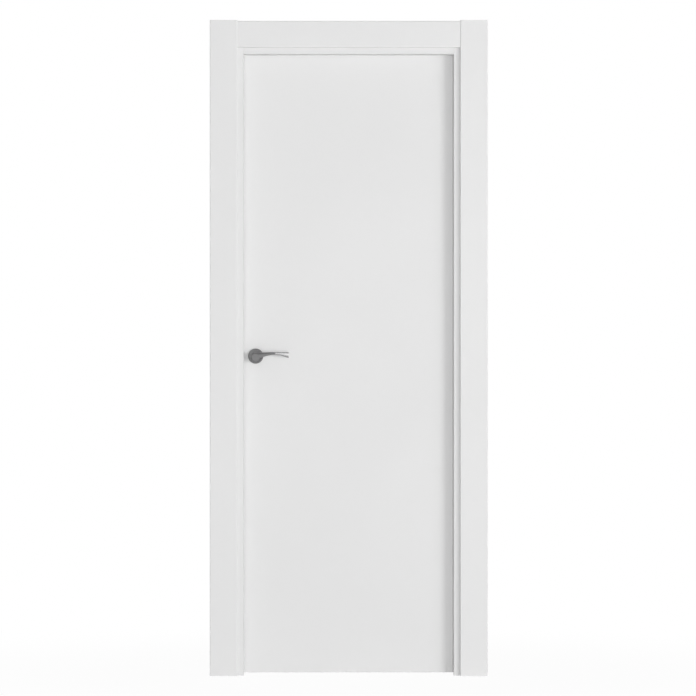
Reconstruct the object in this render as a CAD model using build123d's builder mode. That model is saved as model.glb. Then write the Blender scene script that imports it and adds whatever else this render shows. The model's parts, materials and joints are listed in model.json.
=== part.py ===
"""A painted flush interior door: a leaf hung in its rebated frame, with casings on both sides of the wall.

Millimetres, +Z up, floor at Z = 0. The origin lies on the outer face of the hinge jamb, at its foot,
halfway through the wall. The stop side, where the leaf lies deep in the frame, looks towards -Y, and
the leaf swings out towards +Y. The hinges are at the +X edge of the leaf and the lever is at the other.
"""

import os

from build123d import *

os.makedirs("parts", exist_ok=True)

# Leaf and the gaps around it
leaf_width = 725.0
leaf_height = 2030.0
leaf_thickness = 35.0
skin_thickness = 4.0
edge_band = 8.0
floor_gap = 6.0
hinge_gap = 5.0
lock_gap = 6.5
head_gap = 5.0
arris = 0.8

# Frame
wall_depth = 90.0
jamb_thickness = 30.0
stop_lap = 22.0
stop_clearance = 5.0
stop_arris = 1.2
seal_width = 7.0
seal_slot_depth = 5.0
seal_running_gap = 0.5
seal_bulb_radius = 2.0
seal_play = 0.1
seal_inset = 8.0

# Casings
casing_width = 88.5
casing_thickness = 16.0
head_casing_thickness = 13.0
head_casing_drop = 3.0
front_reveal = 20.5
back_reveal = 10.0
casing_round = 2.5
tongue_thickness = 6.0
tongue_length = 12.0
tongue_inset = 12.0
tongue_play = 0.3

# Butt hinges
hinge_length = 80.0
hinge_plate = 2.5
hinge_plate_width = 30.0
hinge_corner = 6.0
knuckle_radius = 5.0
knuckle_count = 5
knuckle_play = 0.25
hinge_standoff = 1.0
pin_radius = 2.75
pin_play = 0.05
pin_cap_height = 3.0
pin_cap_radius = 4.6
pin_cap_round = 2.0
recess_play = 0.1
hinge_inset = 200.0
hinge_count = 3
screw_radius = 2.1
screw_head_radius = 4.0
screw_head_angle = 82
hinge_screw_pitch = 20.0
hinge_screw_edge = 8.0
hinge_screw_stagger = 9.0

# Latch
lever_height = 1035.0
backset = 60.0
faceplate_width = 20.0
faceplate_height = 170.0
faceplate_thickness = 3.0
latch_case_depth = 78.0
latch_case_height = 120.0
latch_case_thickness = 15.0
latch_play = 0.3
latch_rise = 18.0
bolt_height = 17.0
bolt_thickness = 11.0
bolt_length = 32.0
bolt_proud = 1.0
bolt_round = 2.0
strike_width = 22.0
strike_height = 110.0
strike_thickness = 2.0
strike_corner = 4.0
strike_well_depth = 14.0
strike_screw_inset = 12.0
faceplate_screw_inset = 10.0
strike_play = 1.0
spindle_side = 8.0
spindle_hole_radius = 9.0

# Lever furniture
rose_radius = 24.5
rose_thickness = 9.0
rose_round = 2.5
neck_radius = 9.0
neck_play = 0.3
grip_projection = 46.0
hub_radius = 15.0
hub_drop = 2.5
hub_thickness = 15.0
hub_round = 6.0
hub_inner_round = 2.5
spindle_socket = 26.0
lever_sink = 2.0
scoop_rim = 2.0
scoop_depth = 0.55
lever_length = 108.0

# Blade outline seen from the front: distance from the spindle, top edge, bottom edge, thickness
blade_stations = [
    (0.0, 12.0, -15.0, 14.0),
    (24.0, 12.0, -3.0, 12.0),
    (44.0, 12.5, 2.6, 9.5),
    (64.0, 12.8, 5.0, 8.5),
    (86.0, 12.6, 1.2, 8.0),
    (lever_length, 11.8, -5.8, 7.0),
]
scoop_stations = blade_stations[3:]

# Places along X, from the outer face of the hinge jamb
hinge_rebate_x = -jamb_thickness
leaf_hinge_x = hinge_rebate_x - hinge_gap
leaf_lock_x = leaf_hinge_x - leaf_width
lock_rebate_x = leaf_lock_x - lock_gap
lock_outer_x = lock_rebate_x - jamb_thickness
hinge_stop_x = leaf_hinge_x - stop_lap
lock_stop_x = leaf_lock_x + stop_lap

# Places along Y, through the wall
front_y = -wall_depth / 2
back_y = wall_depth / 2
leaf_back_y = back_y
leaf_front_y = leaf_back_y - leaf_thickness
leaf_mid_y = (leaf_front_y + leaf_back_y) / 2
stop_back_y = leaf_front_y - stop_clearance

# Places along Z
leaf_bottom_z = floor_gap
leaf_top_z = leaf_bottom_z + leaf_height
head_rebate_z = leaf_top_z + head_gap
jamb_top_z = head_rebate_z + jamb_thickness
head_stop_z = leaf_top_z - stop_lap

# Casing edges
front_casing_hinge_x = hinge_stop_x + front_reveal
front_casing_lock_x = lock_stop_x - front_reveal
front_casing_head_z = head_stop_z + front_reveal
back_casing_hinge_x = hinge_rebate_x + back_reveal
back_casing_lock_x = lock_rebate_x - back_reveal
back_casing_head_z = head_rebate_z + back_reveal
casing_outer_hinge_x = front_casing_hinge_x + casing_width
casing_outer_lock_x = front_casing_lock_x - casing_width
casing_top_z = front_casing_head_z + casing_width

# Hinge line and spindle line
pin_x = hinge_rebate_x - hinge_gap / 2
pin_y = leaf_back_y + hinge_standoff + knuckle_radius
spindle_x = leaf_lock_x + backset
knuckle_pitch = hinge_length / knuckle_count
hinge_span = leaf_height - 2 * hinge_inset
hinge_heights = [
    leaf_bottom_z + hinge_inset + hinge_span * i / (hinge_count - 1) for i in range(hinge_count)
]


def save(part, name):
    """Labels a finished piece and writes it to its own file."""
    part.label = name
    export_step(part, f"parts/{name}.step")


def box_between(low, high, mode=Mode.ADD):
    """Adds or cuts a box given by its lowest and highest corners."""
    size = [b - a for a, b in zip(low, high)]
    centre = [(a + b) / 2 for a, b in zip(low, high)]
    with Locations(tuple(centre)):
        Box(*size, mode=mode)


def cut_hinge_recess(low_x, z):
    """Cuts the shallow recess for a hinge plate. Its corners are rounded as the plate's are."""
    recess_low_y = back_y - hinge_plate_width
    recess_width = hinge_plate_width + 2 * hinge_corner
    with BuildSketch(Plane.YZ.offset(low_x)) as outline:
        with Locations((recess_low_y + recess_width / 2, z)):
            RectangleRounded(recess_width, hinge_length + 2 * recess_play, hinge_corner)
    extrude(outline.sketch, amount=hinge_plate, mode=Mode.SUBTRACT)


def countersink(x, y, z, outward, thickness):
    """Cuts a countersunk screw hole in a plate whose face looks along X, outward being 1 or -1."""
    with Locations(Plane(origin=(x, y, z), x_dir=(0, 1, 0), z_dir=(outward, 0, 0))):
        CounterSinkHole(screw_radius, screw_head_radius, thickness, screw_head_angle)


# Hinge jamb: a board with grooves for the casing tongues and recesses for the hinge plates
tongue_groove = tongue_thickness + 2 * tongue_play
groove_depth = tongue_length + tongue_play


def cut_tongue_groove_upright(outer_x, towards_opening):
    """Cuts the two grooves that take the tongues of the casings, in the edges of an upright jamb."""
    middle = outer_x + towards_opening * tongue_inset
    low_x, high_x = middle - tongue_groove / 2, middle + tongue_groove / 2
    box_between((low_x, front_y, 0), (high_x, front_y + groove_depth, jamb_top_z), Mode.SUBTRACT)
    box_between((low_x, back_y - groove_depth, 0), (high_x, back_y, jamb_top_z), Mode.SUBTRACT)


with BuildPart() as hinge_jamb:
    box_between((hinge_rebate_x, front_y, 0), (0, back_y, jamb_top_z))
    cut_tongue_groove_upright(0, -1)
    for z in hinge_heights:
        cut_hinge_recess(hinge_rebate_x, z)
save(hinge_jamb.part, "hinge_jamb")

# Lock jamb: the same board, with a shallow recess for the strike plate and a well for the latch bolt
bolt_z = lever_height + latch_rise
with BuildPart() as lock_jamb:
    box_between((lock_outer_x, front_y, 0), (lock_rebate_x, back_y, jamb_top_z))
    cut_tongue_groove_upright(lock_outer_x, 1)
    box_between(
        (lock_rebate_x - strike_thickness, leaf_mid_y - strike_width / 2, bolt_z - strike_height / 2),
        (lock_rebate_x, leaf_mid_y + strike_width / 2, bolt_z + strike_height / 2),
        Mode.SUBTRACT,
    )
    box_between(
        (lock_rebate_x - strike_well_depth, leaf_mid_y - bolt_thickness, bolt_z - bolt_height),
        (lock_rebate_x, leaf_mid_y + bolt_thickness, bolt_z + bolt_height),
        Mode.SUBTRACT,
    )
save(lock_jamb.part, "lock_jamb")

# Head jamb: housed between the two uprights
with BuildPart() as head_jamb:
    box_between((lock_rebate_x, front_y, head_rebate_z), (hinge_rebate_x, back_y, jamb_top_z))
    tongue_z = jamb_top_z - tongue_inset
    box_between(
        (lock_rebate_x, front_y, tongue_z - tongue_groove / 2),
        (hinge_rebate_x, front_y + groove_depth, tongue_z + tongue_groove / 2),
        Mode.SUBTRACT,
    )
    box_between(
        (lock_rebate_x, back_y - groove_depth, tongue_z - tongue_groove / 2),
        (hinge_rebate_x, back_y, tongue_z + tongue_groove / 2),
        Mode.SUBTRACT,
    )
save(head_jamb.part, "head_jamb")


# Stops: planted on the jambs, with a slot in the face that the leaf shuts against
def stop_section(inner, outer):
    """Draws a stop's section, with an eased inner corner and the slot for the seal."""
    towards_jamb = 1 if outer > inner else -1
    slot_start = inner + towards_jamb * seal_inset
    slot_end = slot_start + towards_jamb * seal_width
    with BuildSketch() as section:
        with BuildLine():
            Polyline(
                (inner + towards_jamb * stop_arris, front_y),
                (outer, front_y),
                (outer, stop_back_y),
                (slot_end, stop_back_y),
                (slot_end, stop_back_y - seal_slot_depth),
                (slot_start, stop_back_y - seal_slot_depth),
                (slot_start, stop_back_y),
                (inner, stop_back_y),
                (inner, front_y + stop_arris),
                close=True,
            )
        make_face()
    return section.sketch


with BuildPart() as hinge_stop:
    add(stop_section(hinge_stop_x, hinge_rebate_x))
    extrude(amount=head_rebate_z)
save(hinge_stop.part, "hinge_stop")

with BuildPart() as lock_stop:
    add(stop_section(lock_stop_x, lock_rebate_x))
    extrude(amount=head_rebate_z)
save(lock_stop.part, "lock_stop")

# The head stop fits between the side stops; its section lies in the YZ plane
head_seal_low = head_stop_z + seal_inset
with BuildPart() as head_stop:
    with BuildSketch(Plane.YZ.offset(lock_stop_x)):
        with BuildLine():
            Polyline(
                (front_y, head_stop_z + stop_arris),
                (front_y, head_rebate_z),
                (stop_back_y, head_rebate_z),
                (stop_back_y, head_seal_low + seal_width),
                (stop_back_y - seal_slot_depth, head_seal_low + seal_width),
                (stop_back_y - seal_slot_depth, head_seal_low),
                (stop_back_y, head_seal_low),
                (stop_back_y, head_stop_z),
                (front_y + stop_arris, head_stop_z),
                close=True,
            )
        make_face()
    extrude(amount=hinge_stop_x - lock_stop_x)
save(head_stop.part, "head_stop")

# Seals: a foot in the slot of each stop and a bulb that the shut leaf all but touches
seal_reach = stop_clearance - seal_running_gap


def seal_profile():
    """Draws a seal about its own middle: the foot lies below the local X axis, the bulb above it."""
    with BuildSketch() as section:
        with Locations((0, -seal_slot_depth / 2)):
            Rectangle(seal_width - 2 * seal_play, seal_slot_depth)
        with Locations((0, seal_reach / 2)):
            RectangleRounded(seal_width - 2 * seal_play, seal_reach, seal_bulb_radius)
        with Locations((0, seal_reach / 4)):
            Rectangle(seal_width - 2 * seal_play, seal_reach / 2)
    return section.sketch


seal_section = seal_profile()
hinge_seal_x = hinge_stop_x + seal_inset + seal_width / 2
lock_seal_x = lock_stop_x - seal_inset - seal_width / 2
head_seal_z = head_seal_low + seal_width / 2

for name, x in (("hinge_seal", hinge_seal_x), ("lock_seal", lock_seal_x)):
    with BuildPart() as side_seal:
        with BuildSketch(Plane.XY):
            with Locations((x, stop_back_y)):
                add(seal_section)
        extrude(amount=head_seal_low - seal_play)
    save(side_seal.part, name)

with BuildPart() as head_seal:
    head_seal_origin = (lock_stop_x, stop_back_y, head_seal_z)
    with BuildSketch(Plane(origin=head_seal_origin, x_dir=(0, 0, 1), z_dir=(1, 0, 0))):
        add(seal_section.rotate(Axis.Z, 180))
    extrude(amount=hinge_stop_x - lock_stop_x)
save(head_seal.part, "head_seal")


# Casings: boards with rounded front edges and a tongue that enters the jamb
def side_casing(inner_x, outer_x, jamb_outer_x, face_y, outward):
    """Makes an upright casing. face_y is the wall face it lies on, outward the way it stands proud."""
    towards_jamb = 1 if jamb_outer_x > inner_x else -1
    tongue_x = jamb_outer_x - towards_jamb * tongue_inset
    low_x, high_x = min(inner_x, outer_x), max(inner_x, outer_x)
    proud_y = face_y + outward * casing_thickness
    with BuildPart() as casing:
        box_between(
            (low_x, min(face_y, proud_y), 0),
            (high_x, max(face_y, proud_y), casing_top_z),
        )
        fillet(
            casing.edges().filter_by(Axis.Z).group_by(Axis.Y)[0 if outward < 0 else -1],
            casing_round,
        )
        tongue_y = face_y - outward * tongue_length
        box_between(
            (tongue_x - tongue_thickness / 2, min(face_y, tongue_y), 0),
            (tongue_x + tongue_thickness / 2, max(face_y, tongue_y), jamb_top_z),
        )
    return casing.part


def head_casing(low_x, high_x, low_z, face_y, outward):
    """Makes a head casing that butts between the two upright ones."""
    proud_y = face_y + outward * head_casing_thickness
    tongue_y = face_y - outward * tongue_length
    with BuildPart() as casing:
        box_between(
            (low_x, min(face_y, proud_y), low_z),
            (high_x, max(face_y, proud_y), casing_top_z - head_casing_drop),
        )
        fillet(
            casing.edges().filter_by(Axis.X).group_by(Axis.Y)[0 if outward < 0 else -1],
            casing_round,
        )
        box_between(
            (lock_rebate_x + tongue_play, min(face_y, tongue_y), tongue_z - tongue_thickness / 2),
            (hinge_rebate_x - tongue_play, max(face_y, tongue_y), tongue_z + tongue_thickness / 2),
        )
    return casing.part


save(side_casing(front_casing_hinge_x, casing_outer_hinge_x, 0, front_y, -1), "front_casing_hinge_side")
save(
    side_casing(front_casing_lock_x, casing_outer_lock_x, lock_outer_x, front_y, -1),
    "front_casing_lock_side",
)
save(side_casing(back_casing_hinge_x, casing_outer_hinge_x, 0, back_y, 1), "back_casing_hinge_side")
save(
    side_casing(back_casing_lock_x, casing_outer_lock_x, lock_outer_x, back_y, 1),
    "back_casing_lock_side",
)
save(
    head_casing(front_casing_lock_x, front_casing_hinge_x, front_casing_head_z, front_y, -1),
    "front_casing_head",
)
save(
    head_casing(back_casing_lock_x, back_casing_hinge_x, back_casing_head_z, back_y, 1),
    "back_casing_head",
)

# Strike plate: sunk in the lock jamb, with an opening for the bolt
with BuildPart() as strike_plate:
    box_between(
        (
            lock_rebate_x - strike_thickness,
            leaf_mid_y - strike_width / 2 + recess_play,
            bolt_z - strike_height / 2 + recess_play,
        ),
        (
            lock_rebate_x,
            leaf_mid_y + strike_width / 2 - recess_play,
            bolt_z + strike_height / 2 - recess_play,
        ),
    )
    fillet(strike_plate.edges().filter_by(Axis.X), strike_corner)
    hole_half_y = bolt_thickness / 2 + strike_play
    hole_half_z = bolt_height / 2 + strike_play
    box_between(
        (lock_rebate_x - strike_thickness, leaf_mid_y - hole_half_y, bolt_z - hole_half_z),
        (lock_rebate_x, leaf_mid_y + hole_half_y, bolt_z + hole_half_z),
        Mode.SUBTRACT,
    )
    for side in (-1, 1):
        screw_z = bolt_z + side * (strike_height / 2 - strike_screw_inset)
        countersink(lock_rebate_x, leaf_mid_y, screw_z, 1, strike_thickness)
save(strike_plate.part, "strike_plate")

# Leaf: a core between two skins, closed by bands along its edges
core_front_y = leaf_front_y + skin_thickness
core_back_y = leaf_back_y - skin_thickness
core_lock_x = leaf_lock_x + edge_band
core_hinge_x = leaf_hinge_x - edge_band
core_top_z = leaf_top_z - edge_band
latch_back_x = leaf_lock_x + latch_case_depth + latch_play
case_low_z = lever_height - latch_case_height / 2
case_high_z = lever_height + latch_case_height / 2


def bore_for_spindle(radius):
    """Cuts the round hole that the spindle turns in, right through the leaf."""
    with Locations((spindle_x, leaf_mid_y, lever_height)):
        Cylinder(radius, leaf_thickness, rotation=(90, 0, 0), mode=Mode.SUBTRACT)


def cut_latch_pocket():
    """Cuts the mortise that holds the latch case."""
    box_between(
        (leaf_lock_x, leaf_mid_y - latch_case_thickness / 2 - latch_play, case_low_z - latch_play),
        (latch_back_x, leaf_mid_y + latch_case_thickness / 2 + latch_play, case_high_z + latch_play),
        Mode.SUBTRACT,
    )


with BuildPart() as leaf_core:
    box_between((core_lock_x, core_front_y, leaf_bottom_z), (core_hinge_x, core_back_y, core_top_z))
    cut_latch_pocket()
    bore_for_spindle(spindle_hole_radius)
save(leaf_core.part, "leaf_core")

# Skins: thin boards with eased outer arrises, full width over the bands
for name, skin_low_y, skin_high_y, outer_face in (
    ("leaf_front_skin", leaf_front_y, core_front_y, 0),
    ("leaf_back_skin", core_back_y, leaf_back_y, -1),
):
    with BuildPart() as skin:
        box_between((leaf_lock_x, skin_low_y, leaf_bottom_z), (leaf_hinge_x, skin_high_y, leaf_top_z))
        chamfer(skin.faces().sort_by(Axis.Y)[outer_face].edges(), arris)
        bore_for_spindle(spindle_hole_radius)
        for z in hinge_heights:
            cut_hinge_recess(leaf_hinge_x - hinge_plate, z)
    save(skin.part, name)

with BuildPart() as leaf_lock_band:
    box_between((leaf_lock_x, core_front_y, leaf_bottom_z), (core_lock_x, core_back_y, core_top_z))
    cut_latch_pocket()
    box_between(
        (leaf_lock_x, leaf_mid_y - faceplate_width / 2 - recess_play, lever_height - faceplate_height / 2),
        (leaf_lock_x + faceplate_thickness, leaf_mid_y + faceplate_width / 2 + recess_play,
         lever_height + faceplate_height / 2),
        Mode.SUBTRACT,
    )
save(leaf_lock_band.part, "leaf_lock_band")

with BuildPart() as leaf_hinge_band:
    box_between((core_hinge_x, core_front_y, leaf_bottom_z), (leaf_hinge_x, core_back_y, core_top_z))
    for z in hinge_heights:
        cut_hinge_recess(leaf_hinge_x - hinge_plate, z)
save(leaf_hinge_band.part, "leaf_hinge_band")

with BuildPart() as leaf_top_band:
    box_between((leaf_lock_x, core_front_y, core_top_z), (leaf_hinge_x, core_back_y, leaf_top_z))
save(leaf_top_band.part, "leaf_top_band")

# Latch: a case in the leaf, its faceplate let into the edge, and the bolt drawn in
with BuildPart() as latch_faceplate:
    box_between(
        (leaf_lock_x, leaf_mid_y - faceplate_width / 2, lever_height - faceplate_height / 2 + recess_play),
        (
            leaf_lock_x + faceplate_thickness,
            leaf_mid_y + faceplate_width / 2,
            lever_height + faceplate_height / 2 - recess_play,
        ),
    )
    box_between(
        (leaf_lock_x, leaf_mid_y - bolt_thickness / 2 - latch_play, bolt_z - bolt_height / 2 - latch_play),
        (
            leaf_lock_x + faceplate_thickness,
            leaf_mid_y + bolt_thickness / 2 + latch_play,
            bolt_z + bolt_height / 2 + latch_play,
        ),
        Mode.SUBTRACT,
    )
    for side in (-1, 1):
        screw_z = lever_height + side * (faceplate_height / 2 - faceplate_screw_inset)
        countersink(leaf_lock_x, leaf_mid_y, screw_z, -1, faceplate_thickness)
save(latch_faceplate.part, "latch_faceplate")

with BuildPart() as latch_case:
    box_between(
        (leaf_lock_x + faceplate_thickness, leaf_mid_y - latch_case_thickness / 2, case_low_z),
        (leaf_lock_x + latch_case_depth, leaf_mid_y + latch_case_thickness / 2, case_high_z),
    )
    bore_for_spindle(spindle_hole_radius)
    box_between(
        (
            leaf_lock_x + faceplate_thickness,
            leaf_mid_y - bolt_thickness / 2 - latch_play,
            bolt_z - bolt_height / 2 - latch_play,
        ),
        (
            leaf_lock_x + bolt_length,
            leaf_mid_y + bolt_thickness / 2 + latch_play,
            bolt_z + bolt_height / 2 + latch_play,
        ),
        Mode.SUBTRACT,
    )
save(latch_case.part, "latch_case")

with BuildPart() as latch_bolt:
    box_between(
        (leaf_lock_x - bolt_proud, leaf_mid_y - bolt_thickness / 2, bolt_z - bolt_height / 2),
        (leaf_lock_x + bolt_length, leaf_mid_y + bolt_thickness / 2, bolt_z + bolt_height / 2),
    )
    fillet(latch_bolt.faces().sort_by(Axis.X)[0].edges().filter_by(Axis.Z), bolt_round)
save(latch_bolt.part, "latch_bolt")


# Butt hinges: two plates whose knuckles interleave on one pin
def knuckle_spans(z, first):
    """Lists the bottom and top of every second knuckle, from the given one, with running play."""
    low = z - hinge_length / 2
    return [
        (
            low + i * knuckle_pitch + (knuckle_play / 2 if i else 0),
            low + (i + 1) * knuckle_pitch - (knuckle_play / 2 if i < knuckle_count - 1 else 0),
        )
        for i in range(first, knuckle_count, 2)
    ]


def hinge_half(z, first, plate_low_x, plate_high_x, face_x, outward):
    """Makes one half of a butt hinge: a plate with rounded corners that rolls into its knuckles.

    The screws enter from face_x, and outward is the way that face looks along X.
    """
    plate_low_y = leaf_back_y - hinge_plate_width + recess_play
    own = knuckle_spans(z, first)
    other = knuckle_spans(z, 1 - first)
    with BuildPart() as half:
        box_between(
            (plate_low_x, plate_low_y, z - hinge_length / 2),
            (plate_high_x, pin_y, z + hinge_length / 2),
        )
        fillet(half.edges().filter_by(Axis.X).group_by(Axis.Y)[0], hinge_corner)
        for low, high in own:
            with BuildSketch(Plane.XY.offset(low)):
                with Locations((pin_x, pin_y)):
                    Circle(knuckle_radius)
            extrude(amount=high - low)
        for low, high in other:
            with BuildSketch(Plane.XY.offset(low - knuckle_play)):
                with Locations((pin_x, pin_y)):
                    Circle(knuckle_radius + 2 * knuckle_play)
            extrude(amount=high - low + 2 * knuckle_play, mode=Mode.SUBTRACT)
        with BuildSketch(Plane.XY.offset(z - hinge_length / 2)):
            with Locations((pin_x, pin_y)):
                Circle(pin_radius + pin_play)
        extrude(amount=hinge_length, mode=Mode.SUBTRACT)
        for row in range(4):
            screw_y = plate_low_y + hinge_screw_edge + hinge_screw_stagger * (row % 2)
            countersink(face_x, screw_y, z + hinge_screw_pitch * (row - 1.5), outward, hinge_plate)
    return half.part


for number, z in enumerate(hinge_heights, start=1):
    save(
        hinge_half(z, 0, hinge_rebate_x, hinge_rebate_x + hinge_plate, hinge_rebate_x, -1),
        f"hinge_{number}_frame_plate",
    )
    save(
        hinge_half(z, 1, leaf_hinge_x - hinge_plate, leaf_hinge_x, leaf_hinge_x, 1),
        f"hinge_{number}_leaf_plate",
    )
    with BuildPart() as hinge_pin:
        with BuildSketch(Plane(origin=(pin_x, pin_y, z), x_dir=(1, 0, 0), z_dir=(0, -1, 0))):
            with Locations((pin_radius / 2, 0)):
                Rectangle(pin_radius, hinge_length)
            for end in (-1, 1):
                with Locations((pin_cap_radius / 2, end * (hinge_length + pin_cap_height) / 2)):
                    Rectangle(pin_cap_radius, pin_cap_height)
        revolve(axis=Axis((pin_x, pin_y, z), (0, 0, 1)))
        for end in (0, -1):
            fillet(hinge_pin.faces().sort_by(Axis.Z)[end].edges(), pin_cap_round)
    save(hinge_pin.part, f"hinge_{number}_pin")

# Roses: turned covers with a bored collar for the neck of the lever
rose_plane = Plane(origin=(spindle_x, leaf_front_y, lever_height), x_dir=(1, 0, 0), z_dir=(0, -1, 0))
leaf_mirror = Plane(origin=(0, leaf_mid_y, 0), z_dir=(0, 1, 0))
with BuildPart() as front_rose:
    with BuildSketch(rose_plane):
        Circle(rose_radius)
        Circle(neck_radius + neck_play, mode=Mode.SUBTRACT)
    extrude(amount=rose_thickness)
    fillet(
        front_rose.faces().sort_by(Axis.Y)[0].edges().sort_by(SortBy.LENGTH)[-1],
        rose_round,
    )
save(front_rose.part, "front_rose")
save(mirror(front_rose.part, about=leaf_mirror), "back_rose")

# Levers: a round neck, a rounded hub and a lofted blade whose outer end is scooped
blade_y = leaf_front_y - grip_projection
with BuildPart() as front_lever:
    with BuildSketch(rose_plane.offset(lever_sink)):
        Circle(neck_radius)
    extrude(amount=grip_projection - lever_sink)
    with BuildSketch(rose_plane.offset(grip_projection - hub_thickness / 2)):
        with Locations((0, -hub_drop)):
            Circle(hub_radius)
    extrude(amount=hub_thickness)
    hub_rims = front_lever.edges().filter_by(GeomType.CIRCLE).sort_by(SortBy.LENGTH)[-2:]
    fillet(hub_rims.sort_by(Axis.Y)[0], hub_round)
    hub_rims = front_lever.edges().filter_by(GeomType.CIRCLE).sort_by(SortBy.LENGTH)[-2:]
    fillet(hub_rims.sort_by(Axis.Y)[-1], hub_inner_round)
    for reach, top, bottom, thickness in blade_stations:
        with BuildSketch(Plane.YZ.offset(spindle_x + reach)):
            with Locations((blade_y, lever_height + (top + bottom) / 2)):
                Ellipse(thickness / 2, (top - bottom) / 2)
    loft()
    for reach, top, bottom, thickness in scoop_stations:
        with BuildSketch(Plane.YZ.offset(spindle_x + reach)):
            with Locations((blade_y - thickness / 2, lever_height + (top + bottom) / 2)):
                Ellipse(thickness * scoop_depth, (top - bottom) / 2 - scoop_rim)
    loft(mode=Mode.SUBTRACT)
    with BuildSketch(rose_plane.offset(lever_sink)):
        Rectangle(spindle_side, spindle_side)
    extrude(amount=spindle_socket, mode=Mode.SUBTRACT)
save(front_lever.part, "front_lever")
save(mirror(front_lever.part, about=leaf_mirror), "back_lever")

# Spindle: a square bar from one lever's socket to the other's
with BuildPart() as spindle:
    with BuildSketch(rose_plane.offset(lever_sink + spindle_socket)):
        Rectangle(spindle_side, spindle_side)
    extrude(amount=-(2 * (lever_sink + spindle_socket) + leaf_thickness))
save(spindle.part, "spindle")

print("overall width", casing_outer_hinge_x - casing_outer_lock_x, "height", casing_top_z)
print("hinge line", pin_x, pin_y, "spindle", spindle_x, lever_height, "opening", hinge_stop_x - lock_stop_x)
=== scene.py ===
"""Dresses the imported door: lacquer, metal and rubber, screws, dust box, lights and camera."""

import json
import math

import bpy
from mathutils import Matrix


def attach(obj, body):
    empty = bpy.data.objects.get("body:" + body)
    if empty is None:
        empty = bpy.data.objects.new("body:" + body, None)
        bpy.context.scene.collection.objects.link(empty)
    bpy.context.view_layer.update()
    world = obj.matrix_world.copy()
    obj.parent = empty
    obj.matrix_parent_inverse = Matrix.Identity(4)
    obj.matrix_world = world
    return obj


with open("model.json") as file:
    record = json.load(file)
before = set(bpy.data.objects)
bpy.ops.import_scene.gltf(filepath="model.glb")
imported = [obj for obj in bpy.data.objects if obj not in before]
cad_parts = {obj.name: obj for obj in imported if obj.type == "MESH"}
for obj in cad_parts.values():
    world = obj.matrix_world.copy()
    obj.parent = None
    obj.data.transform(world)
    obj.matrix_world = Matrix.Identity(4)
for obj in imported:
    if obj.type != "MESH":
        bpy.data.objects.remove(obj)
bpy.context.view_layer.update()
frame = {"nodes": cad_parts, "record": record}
nodes = frame["nodes"]

MM = 0.001
WHITE = (1.0, 1.0, 1.0, 1.0)

# Places from the CAD frame, in millimetres
CASING_FRONT_Y = -61.0
HINGE_REBATE_X = -30.0
LEAF_HINGE_X = -35.0
LEAF_LOCK_X = -760.0
LOCK_REBATE_X = -766.5
LEAF_MID_Y = 27.5
SPINDLE_X = -700.0
LEVER_Z = 1035.0
BOLT_Z = 1053.0
NECK_RADIUS = 9.0
HINGE_HEIGHTS = (206.0, 1021.0, 1836.0)
# Across the leaf's thickness, and up from the hinge's middle
HINGE_SCREWS = ((23.1, -30.0), (32.1, -10.0), (23.1, 10.0), (32.1, 30.0))
FACEPLATE_SCREW_RISE = 75.0
STRIKE_SCREW_RISE = 43.0

# The middle of the door's front, which the lights aim at, in metres
DOOR_X, DOOR_Y, DOOR_Z = -0.4, -0.05, 1.06

# The scoop in each lever's blade is a channel of elliptical section. Its section's middle, half
# height, crest and reach are (start, slope, curve) in millimetres over the scoop's length.
SCOOP_START = 64.0
SCOOP_LENGTH = 44.0
SCOOP_MIDDLE = (8.9, -2.1, -3.8)
SCOOP_HALF_HEIGHT = (1.95, 2.3, 2.6)
SCOOP_CREST = (67.75, -0.2, -0.55)
SCOOP_REACH = (4.75, -0.3, -0.5)
# The scoop's painted highlight: a brighter, glossier metal inside the scoop stands in for the
# bright reflection it catches
HIGHLIGHT_MARGIN = 1.12  # a little past the ellipse, whose own edge is 1
HIGHLIGHT_START = -0.002  # just before the scoop, so that its end wall gets the painted highlight too
SCOOP_HIGHLIGHT_COLOUR = (0.80, 0.80, 0.805, 1.0)
SCOOP_HIGHLIGHT_ROUGHNESS = 0.18

# Countersunk screw, in millimetres
SCREW_HEAD_RADIUS = 3.55
SCREW_RIM = 0.25
SCREW_CONE = 2.0
SCREW_SHANK_RADIUS = 1.9
SCREW_SHANK = 9.0
SCREW_DOME = ((0.5, 0.12), (0.9, 0.06))  # each ring's inset and rise
CROSS_SIZE = (3.6, 0.9, 2.2)
CROSS_DEPTH = 0.2
CROSS_TAPER = (0.45, 0.6, 1)
SCREW_BEVEL = 0.08
SCREW_SINK = 0.35  # below the plate's face
SPIN_STEP = 37  # degrees from one hinge screw to the next, as screws stop where they bite
CROSS_REPEAT = 90  # degrees after which a cross recess looks the same

# Grub screw under each lever's neck, in millimetres
GRUB_REACH = 40.0  # from the leaf's middle
GRUB_PROUD = 0.15
GRUB_RADIUS = 2.3
GRUB_LENGTH = 3.0
GRUB_SOCKET_RADIUS = 1.25
GRUB_BEVEL = 0.15

# Dust box behind the strike plate, in millimetres
BOX_BACK_X = -780.0
BOX_FRONT_X = -768.6
BOX_WIDTH = 21.4
BOX_HEIGHT = 33.4
BOX_WALL = 1.2
BOX_BEVEL = 0.3


# ---------------------------------------------------------------- nodes
def object_coordinates(tree, scale=(1.0, 1.0, 1.0)):
    """Gives the object coordinates, stretched by a scale."""
    source = tree.nodes.new("ShaderNodeTexCoord")
    mapping = tree.nodes.new("ShaderNodeMapping")
    mapping.inputs["Scale"].default_value = scale
    tree.links.new(source.outputs["Object"], mapping.inputs["Vector"])
    return mapping.outputs["Vector"]


def noise(tree, vector, scale, detail=2.0, roughness=0.5):
    """Adds a noise texture and gives its value."""
    texture = tree.nodes.new("ShaderNodeTexNoise")
    texture.inputs["Scale"].default_value = scale
    texture.inputs["Detail"].default_value = detail
    texture.inputs["Roughness"].default_value = roughness
    tree.links.new(vector, texture.inputs["Vector"])
    return texture.outputs["Fac"]


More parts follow.
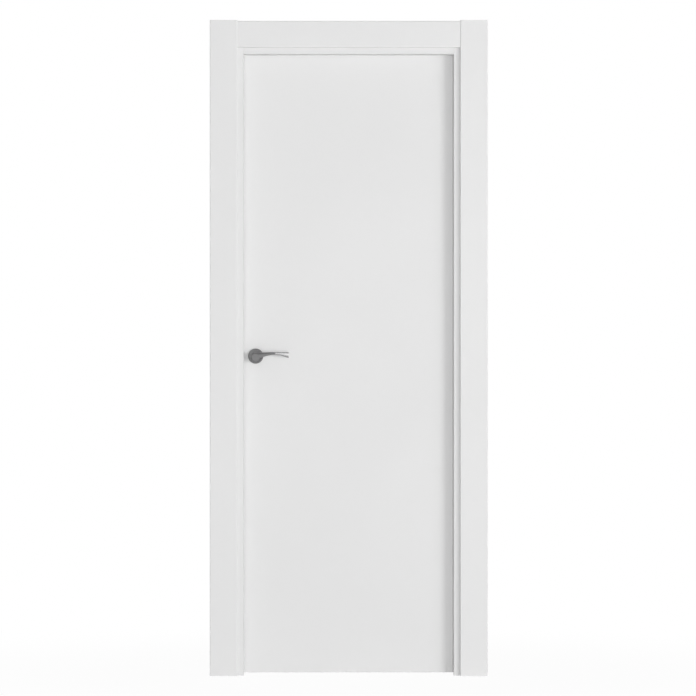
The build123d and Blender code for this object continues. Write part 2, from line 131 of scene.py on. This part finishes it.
def ramp(tree, value, stops):
    """Maps a value through a colour ramp given as (position, colour) stops."""
    node = tree.nodes.new("ShaderNodeValToRGB")
    elements = node.color_ramp.elements
    while len(elements) < len(stops):
        elements.new(0.5)
    for element, (position, colour) in zip(elements, stops):
        element.position = position
        element.color = (*colour, 1.0)
    tree.links.new(value, node.inputs["Fac"])
    return node.outputs["Color"]


def bump(tree, shader, height, strength, distance):
    """Raises the surface by a height value."""
    node = tree.nodes.new("ShaderNodeBump")
    node.inputs["Strength"].default_value = strength
    node.inputs["Distance"].default_value = distance
    tree.links.new(height, node.inputs["Height"])
    tree.links.new(node.outputs["Normal"], shader.inputs["Normal"])


def combine(tree, operation, first, second):
    """Joins two values, sockets or numbers, with a math operation."""
    node = tree.nodes.new("ShaderNodeMath")
    node.operation = operation
    for socket, value in zip(node.inputs, (first, second)):
        if isinstance(value, float):
            socket.default_value = value
        else:
            tree.links.new(value, socket)
    return node.outputs["Value"]


def along_scoop(tree, along, profile):
    """Gives start + slope * along + curve * along * along of a profile in millimetres."""
    start, slope, curve = (value * MM for value in profile)
    rise = combine(tree, "ADD", combine(tree, "MULTIPLY", along, curve), slope)
    return combine(tree, "ADD", combine(tree, "MULTIPLY", rise, along), start)


def map_range(tree, value, from_min, from_max, to_min, to_max, interpolation="LINEAR"):
    """Maps one range of values to another."""
    node = tree.nodes.new("ShaderNodeMapRange")
    node.interpolation_type = interpolation
    node.inputs["From Min"].default_value = from_min
    node.inputs["From Max"].default_value = from_max
    node.inputs["To Min"].default_value = to_min
    node.inputs["To Max"].default_value = to_max
    tree.links.new(value, node.inputs["Value"])
    return node.outputs["Result"]


def mix_shaders(tree, share, first, second):
    """Mixes two shaders, with a share of the second."""
    node = tree.nodes.new("ShaderNodeMixShader")
    tree.links.new(share, node.inputs["Fac"])
    tree.links.new(first, node.inputs[1])
    tree.links.new(second, node.inputs[2])
    return node.outputs["Shader"]


# ---------------------------------------------------------------- materials
def new_material(name, colour, roughness, metallic=0.0, ior=1.45):
    """Starts a node material with its constant values set on the shader itself."""
    material = bpy.data.materials.new(name)
    material.use_nodes = True
    shader = material.node_tree.nodes["Principled BSDF"]
    shader.inputs["Base Color"].default_value = (*colour, 1.0)
    shader.inputs["Roughness"].default_value = roughness
    shader.inputs["Metallic"].default_value = metallic
    shader.inputs["IOR"].default_value = ior
    material.diffuse_color = (*colour, 1.0)
    return material, material.node_tree, shader


def lacquer(name, tone, peel_scale, drift_share=0.012):
    """Sprayed satin lacquer: a pale coat with a faint tone drift and a fine orange peel."""
    material, tree, shader = new_material(name, (tone, tone, tone), roughness=0.42)
    vector = object_coordinates(tree)
    drift = noise(tree, vector, scale=1.6, detail=3.0)
    low, high = tone * (1.0 - drift_share), tone * (1.0 + drift_share)
    stops = ((0.3, (low, low, low)), (0.7, (high, high, high)))
    tree.links.new(ramp(tree, drift, stops), shader.inputs["Base Color"])
    bump(tree, shader, noise(tree, vector, peel_scale), strength=0.10, distance=0.0002)
    return material


def brushed_metal(name, colour, roughness, stretch, grain_strength):
    """Satin metal with a fine grain that runs along the stretched direction."""
    material, tree, shader = new_material(name, colour, roughness, metallic=1.0)
    vector = object_coordinates(tree, stretch)
    grain = noise(tree, vector, scale=900.0, detail=3.0, roughness=0.6)
    low = tuple(c * 0.9 for c in colour)
    high = tuple(min(1.0, c * 1.08) for c in colour)
    tree.links.new(ramp(tree, grain, ((0.35, low), (0.65, high))), shader.inputs["Base Color"])
    bump(tree, shader, grain, grain_strength, distance=0.0001)
    return material


def paint_scoop_highlight(material):
    """Paints a highlight on the scooped end of each lever: a brighter, glossier metal on what
    lies inside the scoop's own channel, standing in for the reflection it catches.
    """
    tree = material.node_tree
    shader = tree.nodes["Principled BSDF"]
    split = tree.nodes.new("ShaderNodeSeparateXYZ")
    tree.links.new(object_coordinates(tree), split.inputs["Vector"])
    # Both levers stand the same way from the leaf's middle
    offset = combine(tree, "SUBTRACT", split.outputs["Y"], LEAF_MID_Y * MM)
    depth = combine(tree, "ABSOLUTE", offset, 0.0)
    rise = combine(tree, "SUBTRACT", split.outputs["Z"], LEVER_Z * MM)
    run = combine(tree, "SUBTRACT", split.outputs["X"], (SPINDLE_X + SCOOP_START) * MM)
    along = combine(tree, "DIVIDE", run, SCOOP_LENGTH * MM)
    above = combine(tree, "SUBTRACT", rise, along_scoop(tree, along, SCOOP_MIDDLE))
    across = combine(tree, "DIVIDE", above, along_scoop(tree, along, SCOOP_HALF_HEIGHT))
    behind = combine(tree, "SUBTRACT", depth, along_scoop(tree, along, SCOOP_CREST))
    inward = combine(tree, "DIVIDE", behind, along_scoop(tree, along, SCOOP_REACH))
    ellipse = combine(
        tree,
        "ADD",
        combine(tree, "MULTIPLY", across, across),
        combine(tree, "MULTIPLY", inward, inward),
    )
    inside = combine(tree, "LESS_THAN", ellipse, HIGHLIGHT_MARGIN)
    started = combine(tree, "GREATER_THAN", along, HIGHLIGHT_START)
    highlight_mask = combine(tree, "MULTIPLY", inside, started)

    # Painted highlight: inside the mask the satin colour gives way to the brighter scoop colour
    tone = tree.nodes.new("ShaderNodeMix")
    tone.data_type = "RGBA"
    colour_a, colour_b = (socket for socket in tone.inputs if socket.type == "RGBA")
    colour_result = next(socket for socket in tone.outputs if socket.type == "RGBA")
    tree.links.new(highlight_mask, tone.inputs["Factor"])
    tree.links.new(shader.inputs["Base Color"].links[0].from_socket, colour_a)
    colour_b.default_value = SCOOP_HIGHLIGHT_COLOUR
    tree.links.new(colour_result, shader.inputs["Base Color"])
    satin_roughness = shader.inputs["Roughness"].default_value
    gloss = map_range(tree, highlight_mask, 0.0, 1.0, satin_roughness, SCOOP_HIGHLIGHT_ROUGHNESS)
    tree.links.new(gloss, shader.inputs["Roughness"])


def seal_material():
    """Pale grey rubber with a fine matt grain."""
    material, tree, shader = new_material(
        "seal_rubber", (0.62, 0.62, 0.61), roughness=0.62, ior=1.5
    )
    grain = noise(tree, object_coordinates(tree), scale=1400.0)
    stops = ((0.3, (0.60, 0.60, 0.59)), (0.7, (0.64, 0.64, 0.63)))
    tree.links.new(ramp(tree, grain, stops), shader.inputs["Base Color"])
    bump(tree, shader, grain, strength=0.15, distance=0.0001)
    return material


def board_material():
    """Bare chipboard, seen only on the leaf's underside: browns chip by chip, fibrous grain."""
    material, tree, shader = new_material("core_board", (0.55, 0.42, 0.27), roughness=0.75)
    vector = object_coordinates(tree)
    chips = tree.nodes.new("ShaderNodeTexVoronoi")
    chips.inputs["Scale"].default_value = 420.0
    tree.links.new(vector, chips.inputs["Vector"])
    chip_tone = tree.nodes.new("ShaderNodeSeparateColor")
    tree.links.new(chips.outputs["Color"], chip_tone.inputs["Color"])
    stops = ((0.0, (0.34, 0.24, 0.14)), (0.5, (0.55, 0.42, 0.27)), (1.0, (0.68, 0.55, 0.38)))
    tree.links.new(ramp(tree, chip_tone.outputs["Red"], stops), shader.inputs["Base Color"])
    fibres = noise(tree, vector, scale=800.0, detail=4.0, roughness=0.7)
    bump(tree, shader, fibres, strength=0.4, distance=0.0003)
    return material


def dust_box_material():
    """Black moulded plastic with a fine grain."""
    material, tree, shader = new_material(
        "dust_box_plastic", (0.03, 0.03, 0.03), roughness=0.5
    )
    grain = noise(tree, object_coordinates(tree), scale=2500.0, detail=1.0)
    bump(tree, shader, grain, strength=0.2, distance=0.0001)
    return material


frame_lacquer = lacquer("frame_lacquer", tone=0.78, peel_scale=480.0)
# The stops get the frame's lacquer painted a touch darker: painted shade that offsets the light
# they catch from the casings' edges
stop_lacquer_painted_shade = lacquer("stop_lacquer_painted_shade", tone=0.748, peel_scale=480.0)
lever_metal = brushed_metal(
    "lever_metal",
    (0.25, 0.25, 0.252),
    roughness=0.36,
    stretch=(1.0, 1.0, 0.25),
    grain_strength=0.05,
)
# Paints the scoop's highlight into the lever metal
paint_scoop_highlight(lever_metal)
screw_steel = brushed_metal(
    "screw_steel",
    (0.50, 0.50, 0.51),
    roughness=0.26,
    stretch=(1.0, 1.0, 1.0),
    grain_strength=0.03,
)

FINISHES = {
    "leaf_lacquer": lacquer("leaf_lacquer", tone=0.775, peel_scale=520.0),
    "frame_lacquer": frame_lacquer,
    "core_board": board_material(),
    "seal": seal_material(),
    "hinge_steel": brushed_metal(
        "hinge_steel",
        (0.52, 0.52, 0.53),
        roughness=0.30,
        stretch=(1.0, 1.0, 0.05),
        grain_strength=0.08,
    ),
    "lever_metal": lever_metal,
}
for subpart in frame["record"]["subparts"]:
    finish = FINISHES[subpart["material_slot"]]
    # The stops take the darker copy of the frame lacquer, which is painted shade
    if subpart["node"].endswith("_stop"):
        finish = stop_lacquer_painted_shade
    for material_slot in nodes[subpart["node"]].material_slots:
        material_slot.material = finish


# ---------------------------------------------------------------- modelling helpers
def only(piece):
    """Leaves one object selected and active."""
    bpy.ops.object.select_all(action="DESELECT")
    piece.select_set(True)
    bpy.context.view_layer.objects.active = piece


def bake_place(piece):
    """Bakes a piece's place, turn and size into its mesh."""
    only(piece)
    bpy.ops.object.transform_apply(location=True, rotation=True, scale=True)


def add_cylinder(vertices, radius, depth, middle_z):
    """Adds an upright cylinder."""
    bpy.ops.mesh.primitive_cylinder_add(
        vertices=vertices, radius=radius, depth=depth, location=(0, 0, middle_z)
    )
    piece = bpy.context.object
    bake_place(piece)
    return piece


def add_box(size, middle):
    """Adds a box."""
    bpy.ops.mesh.primitive_cube_add(size=1, location=middle)
    piece = bpy.context.object
    piece.scale = size
    bake_place(piece)
    return piece


def edit_faces(piece, keep):
    """Enters edit mode in face mode with only the faces that the test keeps selected."""
    only(piece)
    bpy.ops.object.mode_set(mode="EDIT")
    bpy.ops.mesh.select_mode(type="FACE")
    bpy.ops.mesh.select_all(action="DESELECT")
    bpy.ops.object.mode_set(mode="OBJECT")
    for polygon in piece.data.polygons:
        polygon.select = keep(polygon)
    bpy.ops.object.mode_set(mode="EDIT")


def leave_edit():
    """Returns to object mode."""
    bpy.ops.object.mode_set(mode="OBJECT")


def extrude(move):
    """Extrudes the selected faces and moves them."""
    bpy.ops.mesh.extrude_region_move(TRANSFORM_OT_translate={"value": move})


def apply_modifier(piece, kind, **values):
    """Adds a modifier, sets its values and applies it."""
    only(piece)
    modifier = piece.modifiers.new(kind.title(), kind)
    for key, value in values.items():
        setattr(modifier, key, value)
    bpy.ops.object.modifier_apply(modifier=modifier.name)


def cut(piece, tool):
    """Cuts a tool out of a piece and deletes the tool."""
    apply_modifier(piece, "BOOLEAN", operation="DIFFERENCE", solver="EXACT", object=tool)
    bpy.data.objects.remove(tool)


def round_edges(piece, width, degrees):
    """Bevels the edges sharper than an angle and shades the rest smooth."""
    apply_modifier(
        piece,
        "BEVEL",
        width=width,
        segments=2,
        limit_method="ANGLE",
        angle_limit=math.radians(degrees),
    )
    only(piece)
    bpy.ops.object.shade_smooth_by_angle(angle=math.radians(35))


def finish_piece(piece, body, material):
    """Gives a piece its finish and body."""
    piece.data.materials.clear()
    piece.data.materials.append(material)
    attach(piece, body)


def place_copy(master, name, place, lean=0.0, spin=0.0):
    """Copies a piece with its own mesh: spun about Z, leant about Y, then put in its place."""
    piece = master.copy()
    piece.data = master.data.copy()
    piece.name = name
    bpy.context.scene.collection.objects.link(piece)
    piece.rotation_mode = "ZYX"
    piece.rotation_euler = (0, lean, spin)
    piece.location = tuple(value * MM for value in place)
    bake_place(piece)
    return piece


# ---------------------------------------------------------------- countersunk screws
def make_screw():
    """A countersunk screw that looks along +Z, its rim at Z = 0."""
    screw = add_cylinder(40, SCREW_HEAD_RADIUS * MM, SCREW_RIM * MM, -SCREW_RIM / 2 * MM)
    edit_faces(screw, lambda polygon: polygon.normal.z < -0.9)
    extrude((0, 0, -SCREW_CONE * MM))
    ratio = SCREW_SHANK_RADIUS / SCREW_HEAD_RADIUS
    bpy.ops.transform.resize(value=(ratio, ratio, 1), center_override=(0, 0, 0))
    extrude((0, 0, -SCREW_SHANK * MM))
    leave_edit()
    edit_faces(screw, lambda polygon: polygon.normal.z > 0.9)
    for inset, rise in SCREW_DOME:
        bpy.ops.mesh.inset(thickness=inset * MM)
        bpy.ops.transform.translate(value=(0, 0, rise * MM))
    leave_edit()
    for turn in (0, math.pi / 2):
        blade = add_box([value * MM for value in CROSS_SIZE], (0, 0, -CROSS_DEPTH * MM))
        edit_faces(blade, lambda polygon: polygon.normal.z < -0.9)
        bpy.ops.transform.resize(value=CROSS_TAPER, center_override=(0, 0, 0))
        leave_edit()
        blade.rotation_euler = (0, 0, turn)
        bake_place(blade)
        cut(screw, blade)
    round_edges(screw, SCREW_BEVEL * MM, 40)
    return screw


# How far a screw leans from +Z to look along X, and its sink into a plate that faces that way
LOOK_MINUS_X = (-math.pi / 2, SCREW_SINK)
LOOK_PLUS_X = (math.pi / 2, -SCREW_SINK)

screw_master = make_screw()
screw_count = 0
for hinge, hinge_z in enumerate(HINGE_HEIGHTS, start=1):
    for row, (screw_y, rise) in enumerate(HINGE_SCREWS, start=1):
        for body, face_x, (lean, sink) in (
            ("frame", HINGE_REBATE_X, LOOK_MINUS_X),
            ("leaf", LEAF_HINGE_X, LOOK_PLUS_X),
        ):
            screw_count += 1
            piece = place_copy(
                screw_master,
                f"hinge_{hinge}_{body}_screw_{row}",
                (face_x + sink, screw_y, hinge_z + rise),
                lean,
                math.radians(screw_count * SPIN_STEP % CROSS_REPEAT),
            )
            finish_piece(piece, body, screw_steel)

for plate, body, face_x, middle_z, rise, (lean, sink) in (
    ("faceplate", "leaf", LEAF_LOCK_X, LEVER_Z, FACEPLATE_SCREW_RISE, LOOK_MINUS_X),
    ("strike", "frame", LOCK_REBATE_X, BOLT_Z, STRIKE_SCREW_RISE, LOOK_PLUS_X),
):
    for end, side in (("low", -1), ("high", 1)):
        place = (face_x + sink, LEAF_MID_Y, middle_z + side * rise)
        piece = place_copy(screw_master, f"{plate}_screw_{end}", place, lean)
        finish_piece(piece, body, screw_steel)
bpy.data.objects.remove(screw_master)


# ---------------------------------------------------------------- grub screws in the lever necks
def make_grub_screw():
    """A socket set screw that looks along -Z: a short cylinder with a hexagonal hole."""
    grub = add_cylinder(32, GRUB_RADIUS * MM, GRUB_LENGTH * MM, GRUB_LENGTH / 2 * MM)
    cut(grub, add_cylinder(6, GRUB_SOCKET_RADIUS * MM, GRUB_LENGTH * MM, 0))
    round_edges(grub, GRUB_BEVEL * MM, 50)
    return grub


grub_master = make_grub_screw()
for side, neck_y in (("front", LEAF_MID_Y - GRUB_REACH), ("back", LEAF_MID_Y + GRUB_REACH)):
    place = (SPINDLE_X, neck_y, LEVER_Z - NECK_RADIUS - GRUB_PROUD)
    piece = place_copy(grub_master, f"{side}_lever_grub_screw", place)
    finish_piece(piece, "handle", screw_steel)
bpy.data.objects.remove(grub_master)

# ---------------------------------------------------------------- dust box
box_depth = BOX_FRONT_X - BOX_BACK_X
dust_box = add_box(
    (box_depth * MM, BOX_WIDTH * MM, BOX_HEIGHT * MM),
    ((BOX_BACK_X + BOX_FRONT_X) / 2 * MM, LEAF_MID_Y * MM, BOLT_Z * MM),
)
dust_box.name = "strike_dust_box"
edit_faces(dust_box, lambda polygon: polygon.normal.x > 0.9)
bpy.ops.mesh.inset(thickness=BOX_WALL * MM)
extrude(((BOX_WALL - box_depth) * MM, 0, 0))
leave_edit()
round_edges(dust_box, BOX_BEVEL * MM, 40)
finish_piece(dust_box, "frame", dust_box_material())

# ---------------------------------------------------------------- floor
# The camera and mirrors see a floor that is nearly white, and fully white away from the door
FLOOR_SIZE = 60
FLOOR_TONE = 0.85
DOOR_FOOT = (DOOR_X, 0.0, 0.0)
WHITE_NEAR, WHITE_FAR = 0.955, 1.0
FADE_START, FADE_END = 0.6, 2.2

bpy.ops.mesh.primitive_plane_add(size=FLOOR_SIZE, location=(0, 0, 0))
floor = bpy.context.object
floor.name = "floor"
floor_material = bpy.data.materials.new("floor")
floor_material.use_nodes = True
floor_tree = floor_material.node_tree
floor_tree.nodes.clear()
floor_diffuse = floor_tree.nodes.new("ShaderNodeBsdfDiffuse")
floor_diffuse.inputs["Color"].default_value = (FLOOR_TONE, FLOOR_TONE, FLOOR_TONE, 1)
floor_white = floor_tree.nodes.new("ShaderNodeEmission")
floor_white.inputs["Color"].default_value = WHITE
floor_white.inputs["Strength"].default_value = 1.0
floor_distance = floor_tree.nodes.new("ShaderNodeVectorMath")
floor_distance.operation = "DISTANCE"
floor_distance.inputs[1].default_value = DOOR_FOOT
floor_tree.links.new(object_coordinates(floor_tree), floor_distance.inputs[0])
floor_fade = map_range(
    floor_tree,
    floor_distance.outputs["Value"],
    FADE_START,
    FADE_END,
    WHITE_NEAR,
    WHITE_FAR,
    interpolation="SMOOTHSTEP",
)
floor_path = floor_tree.nodes.new("ShaderNodeLightPath")
floor_seen = combine(
    floor_tree,
    "MAXIMUM",
    floor_path.outputs["Is Camera Ray"],
    floor_path.outputs["Is Glossy Ray"],
)
floor_output = floor_tree.nodes.new("ShaderNodeOutputMaterial")
floor_shader = mix_shaders(
    floor_tree,
    combine(floor_tree, "MULTIPLY", floor_seen, floor_fade),
    floor_diffuse.outputs["BSDF"],
    floor_white.outputs["Emission"],
)
floor_tree.links.new(floor_shader, floor_output.inputs["Surface"])
floor.data.materials.append(floor_material)

# ---------------------------------------------------------------- world
# Surfaces are lit by a dim room, the camera sees white, and reflections see a brighter room
# that grows darker overhead
AMBIENT_STRENGTH = 0.33
ROOM_AT_HORIZON, ROOM_OVERHEAD = 1.05, 0.45
ROOM_OVERHEAD_FROM = 0.8


def background(tree, strength=1.0):
    """Adds a white background of a strength."""
    node = tree.nodes.new("ShaderNodeBackground")
    node.inputs["Color"].default_value = WHITE
    node.inputs["Strength"].default_value = strength
    return node


world = bpy.data.worlds.new("studio")
bpy.context.scene.world = world
world.use_nodes = True
world_tree = world.node_tree
world_tree.nodes.clear()
room = background(world_tree)
room_direction = world_tree.nodes.new("ShaderNodeTexCoord")
room_split = world_tree.nodes.new("ShaderNodeSeparateXYZ")
world_tree.links.new(room_direction.outputs["Generated"], room_split.inputs["Vector"])
room_level = map_range(
    world_tree,
    room_split.outputs["Z"],
    0.0,
    ROOM_OVERHEAD_FROM,
    ROOM_AT_HORIZON,
    ROOM_OVERHEAD,
)
world_tree.links.new(room_level, room.inputs["Strength"])
world_path = world_tree.nodes.new("ShaderNodeLightPath")
beyond_camera = mix_shaders(
    world_tree,
    world_path.outputs["Is Glossy Ray"],
    background(world_tree, AMBIENT_STRENGTH).outputs["Background"],
    room.outputs["Background"],
)
world_shader = mix_shaders(
    world_tree,
    world_path.outputs["Is Camera Ray"],
    beyond_camera,
    background(world_tree).outputs["Background"],
)
world_output = world_tree.nodes.new("ShaderNodeOutputWorld")
world_tree.links.new(world_shader, world_output.inputs["Surface"])

# ---------------------------------------------------------------- lights
def before_door(degrees, distance, height):
    """Gives a place before the door, some degrees to the right of its middle."""
    angle = math.radians(degrees)
    return DOOR_X + distance * math.sin(angle), DOOR_Y - distance * math.cos(angle), height


def area_light(name, place, aim_z, width, height, power):
    """Adds a soft light aimed at a height on the door, unseen by camera and reflections."""
    data = bpy.data.lights.new(name, "AREA")
    data.shape = "RECTANGLE"
    data.size = width
    data.size_y = height
    data.energy = power
    light = bpy.data.objects.new(name, data)
    bpy.context.scene.collection.objects.link(light)
    light.location = place
    run_x, run_y = DOOR_X - place[0], DOOR_Y - place[1]
    turn = math.atan2(run_x, run_y)
    tilt = math.atan2(aim_z - place[2], math.hypot(run_x, run_y))
    light.rotation_euler = (math.pi / 2 + tilt, 0, -turn)
    light.visible_camera = False
    light.visible_glossy = False


# Name, place, height of the aim, width, height and power, in metres and watts
for light in (
    ("key", before_door(33, 12.0, DOOR_Z), DOOR_Z, 4.0, 2.0, 440.0),
    ("side_key", before_door(50, 12.0, DOOR_Z), DOOR_Z, 2.5, 2.0, 68.0),
    ("front_fill", before_door(4, 7.0, 1.2), 1.2, 1.2, 1.6, 98.0),
    ("low_fill", before_door(4, 5.0, 0.35), 1.4, 0.86, 0.5, 31.0),
    ("back_fill", (DOOR_X, 7.0, DOOR_Z), DOOR_Z, 1.6, 1.6, 175.0),
    ("back_key", (-4.5, 4.4, DOOR_Z), DOOR_Z, 2.4, 2.0, 105.0),
):
    area_light(*light)

# ---------------------------------------------------------------- camera
SENSOR_WIDTH = 36.0
CAMERA_DISTANCE = 12.0
VIEW_WIDTH = 2.252
CAMERA_X, CAMERA_Z = -0.3999, 1.0615

camera_data = bpy.data.cameras.new("camera")
camera_data.sensor_width = SENSOR_WIDTH
camera_data.lens = SENSOR_WIDTH * CAMERA_DISTANCE / VIEW_WIDTH
camera = bpy.data.objects.new("camera", camera_data)
bpy.context.scene.collection.objects.link(camera)
camera.location = (CAMERA_X, CASING_FRONT_Y * MM - CAMERA_DISTANCE, CAMERA_Z)
camera.rotation_euler = (math.pi / 2, 0, 0)
bpy.context.scene.camera = camera
bpy.context.scene.view_settings.view_transform = "Standard"
